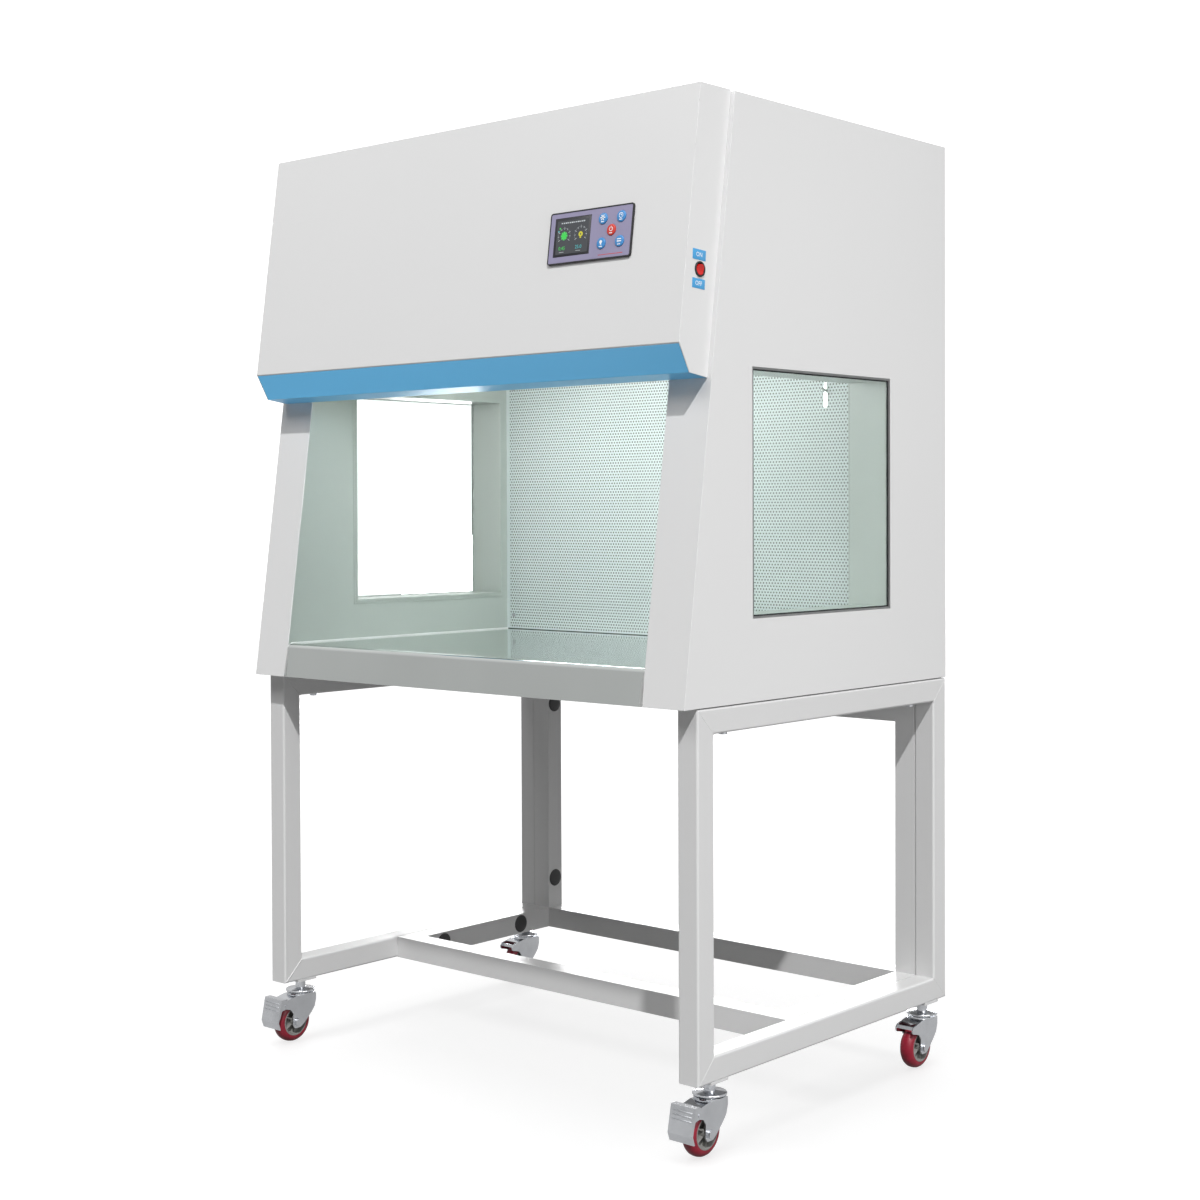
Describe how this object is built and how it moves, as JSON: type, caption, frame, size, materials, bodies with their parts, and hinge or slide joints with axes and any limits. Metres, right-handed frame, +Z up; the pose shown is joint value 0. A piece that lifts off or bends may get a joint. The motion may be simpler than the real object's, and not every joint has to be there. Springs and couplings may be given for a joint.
{
  "type": "horizontal laminar flow cabinet",
  "caption": "Horizontal laminar flow cabinet with glazed side walls, a leaning control hood and a stainless worktop, on a tubular stand with braked swivel casters.",
  "frame": {"origin": "on the floor, at the middle of the cabinet's plan outline", "axes": "+Z up, -Y towards the open front and the person who works there, +X to that person's right"},
  "size_m": [1.024, 0.744, 1.6447],
  "materials": {
    "frame_paint": "satin",
    "body_paint": "satin",
    "hood_blue": "satin",
    "stainless": "brushed",
    "zinc": "satin",
    "chrome": "polished",
    "black_plastic": "matte",
    "gray_plastic": "matte",
    "panel_plastic": "gloss",
    "display_glass": "gloss",
    "key_blue": "gloss",
    "key_red": "gloss",
    "switch_red": "gloss",
    "board_green": "matte",
    "seal_rubber": "matte",
    "tread_red": "satin",
    "hub_gray": "satin",
    "window_glass": "clear",
    "lamp_glass": "frosted",
    "filter_paper": "matte",
    "filter_foam": "matte",
    "aluminium": "satin",
    "motor_black": "satin"
  },
  "bodies": {
    "cabinet": {"left_side_frame": "frame_paint", "right_side_frame": "frame_paint", "connecting_frame": "frame_paint", "frame_bolts": "zinc", "hole_plugs": "black_plastic", "cabinet_pads": "seal_rubber", "caster_stems": "chrome", "left_side_panel": "body_paint", "right_side_panel": "body_paint", "left_liner": "body_paint", "right_liner": "body_paint", "left_window_glass": "window_glass", "right_window_glass": "window_glass", "left_window_gasket": "seal_rubber", "right_window_gasket": "seal_rubber", "base_pan": "body_paint", "worktop": "stainless", "rear_panel": "body_paint", "top_panel": "body_paint", "prefilter_grille": "body_paint", "prefilter_media": "filter_foam", "chamber_ceiling": "body_paint", "diffuser": "body_paint", "diffuser_screws": "zinc", "hepa_frame": "aluminium", "hepa_media": "filter_paper", "blower_housing": "zinc", "blower_motor": "motor_black", "lamp_fitting": "body_paint", "lamp_tubes": "lamp_glass", "hood_cover": "body_paint", "hood_skirt": "hood_blue", "control_bezel": "panel_plastic", "display": "display_glass", "control_board": "board_green", "switch_housing": "black_plastic", "power_inlet": "black_plastic", "accessory_hook": "stainless", "lifting_eye": "zinc"},
    "impeller": {"blower_impeller": "zinc"},
    "rocker": {"switch_rocker": "switch_red"},
    "key_fan_cap": {"key_fan": "key_blue"},
    "key_timer_cap": {"key_timer": "key_blue"},
    "key_power_cap": {"key_power": "key_red"},
    "key_lamp_cap": {"key_lamp": "key_blue"},
    "key_uv_cap": {"key_uv": "key_blue"},
    "front_left_swivel": {"front_left_caster_fork": "chrome"},
    "front_left_wheel": {"front_left_caster_tyre": "tread_red", "front_left_caster_hub": "hub_gray"},
    "front_left_pedal": {"front_left_brake_pedal": "chrome"},
    "front_right_swivel": {"front_right_caster_fork": "chrome"},
    "front_right_wheel": {"front_right_caster_tyre": "tread_red", "front_right_caster_hub": "hub_gray"},
    "front_right_pedal": {"front_right_brake_pedal": "chrome"},
    "rear_left_swivel": {"rear_left_caster_fork": "chrome"},
    "rear_left_wheel": {"rear_left_caster_tyre": "tread_red", "rear_left_caster_hub": "hub_gray"},
    "rear_right_swivel": {"rear_right_caster_fork": "chrome"},
    "rear_right_wheel": {"rear_right_caster_tyre": "tread_red", "rear_right_caster_hub": "hub_gray"}
  },
  "joints": [
    {"name": "impeller_spin", "type": "hinge", "parent": "cabinet", "child": "impeller", "pos_m": [0, 0.0631, 1.425], "axis": [1, 0, 0], "continuous": true},
    {"name": "key_fan_press", "type": "slide", "parent": "cabinet", "child": "key_fan_cap", "axis": [0, 0.9907, -0.136], "range_m": [0, 0.0008], "stiffness_N_per_m": 400},
    {"name": "key_timer_press", "type": "slide", "parent": "cabinet", "child": "key_timer_cap", "axis": [0, 0.9907, -0.136], "range_m": [0, 0.0008], "stiffness_N_per_m": 400},
    {"name": "key_power_press", "type": "slide", "parent": "cabinet", "child": "key_power_cap", "axis": [0, 0.9907, -0.136], "range_m": [0, 0.0008], "stiffness_N_per_m": 400},
    {"name": "key_lamp_press", "type": "slide", "parent": "cabinet", "child": "key_lamp_cap", "axis": [0, 0.9907, -0.136], "range_m": [0, 0.0008], "stiffness_N_per_m": 400},
    {"name": "key_uv_press", "type": "slide", "parent": "cabinet", "child": "key_uv_cap", "axis": [0, 0.9907, -0.136], "range_m": [0, 0.0008], "stiffness_N_per_m": 400},
    {"name": "switch_rock", "type": "hinge", "parent": "cabinet", "child": "rocker", "pos_m": [0.495, -0.32089, 1.34632], "axis": [0, -0.9907, 0.136], "range_deg": [0, 20]},
    {"name": "front_left_swivel_turn", "type": "hinge", "parent": "cabinet", "child": "front_left_swivel", "pos_m": [-0.485, -0.287, 0.0865], "axis": [0, 0, 1], "continuous": true},
    {"name": "front_left_wheel_roll", "type": "hinge", "parent": "front_left_swivel", "child": "front_left_wheel", "pos_m": [-0.485, -0.309, 0.0375], "axis": [1, 0, 0], "continuous": true},
    {"name": "front_left_pedal_press", "type": "hinge", "parent": "front_left_swivel", "child": "front_left_pedal", "pos_m": [-0.485, -0.3374, 0.0724], "axis": [1, 0, 0], "range_deg": [0, 8]},
    {"name": "front_right_swivel_turn", "type": "hinge", "parent": "cabinet", "child": "front_right_swivel", "pos_m": [0.485, -0.287, 0.0865], "axis": [0, 0, 1], "continuous": true},
    {"name": "front_right_wheel_roll", "type": "hinge", "parent": "front_right_swivel", "child": "front_right_wheel", "pos_m": [0.485, -0.309, 0.0375], "axis": [1, 0, 0], "continuous": true},
    {"name": "front_right_pedal_press", "type": "hinge", "parent": "front_right_swivel", "child": "front_right_pedal", "pos_m": [0.485, -0.3374, 0.0724], "axis": [1, 0, 0], "range_deg": [0, 8]},
    {"name": "rear_left_swivel_turn", "type": "hinge", "parent": "cabinet", "child": "rear_left_swivel", "pos_m": [-0.485, 0.323, 0.0865], "axis": [0, 0, 1], "continuous": true},
    {"name": "rear_left_wheel_roll", "type": "hinge", "parent": "rear_left_swivel", "child": "rear_left_wheel", "pos_m": [-0.485, 0.301, 0.0375], "axis": [1, 0, 0], "continuous": true},
    {"name": "rear_right_swivel_turn", "type": "hinge", "parent": "cabinet", "child": "rear_right_swivel", "pos_m": [0.485, 0.323, 0.0865], "axis": [0, 0, 1], "continuous": true},
    {"name": "rear_right_wheel_roll", "type": "hinge", "parent": "rear_right_swivel", "child": "rear_right_wheel", "pos_m": [0.485, 0.301, 0.0375], "axis": [1, 0, 0], "continuous": true}
  ]
}
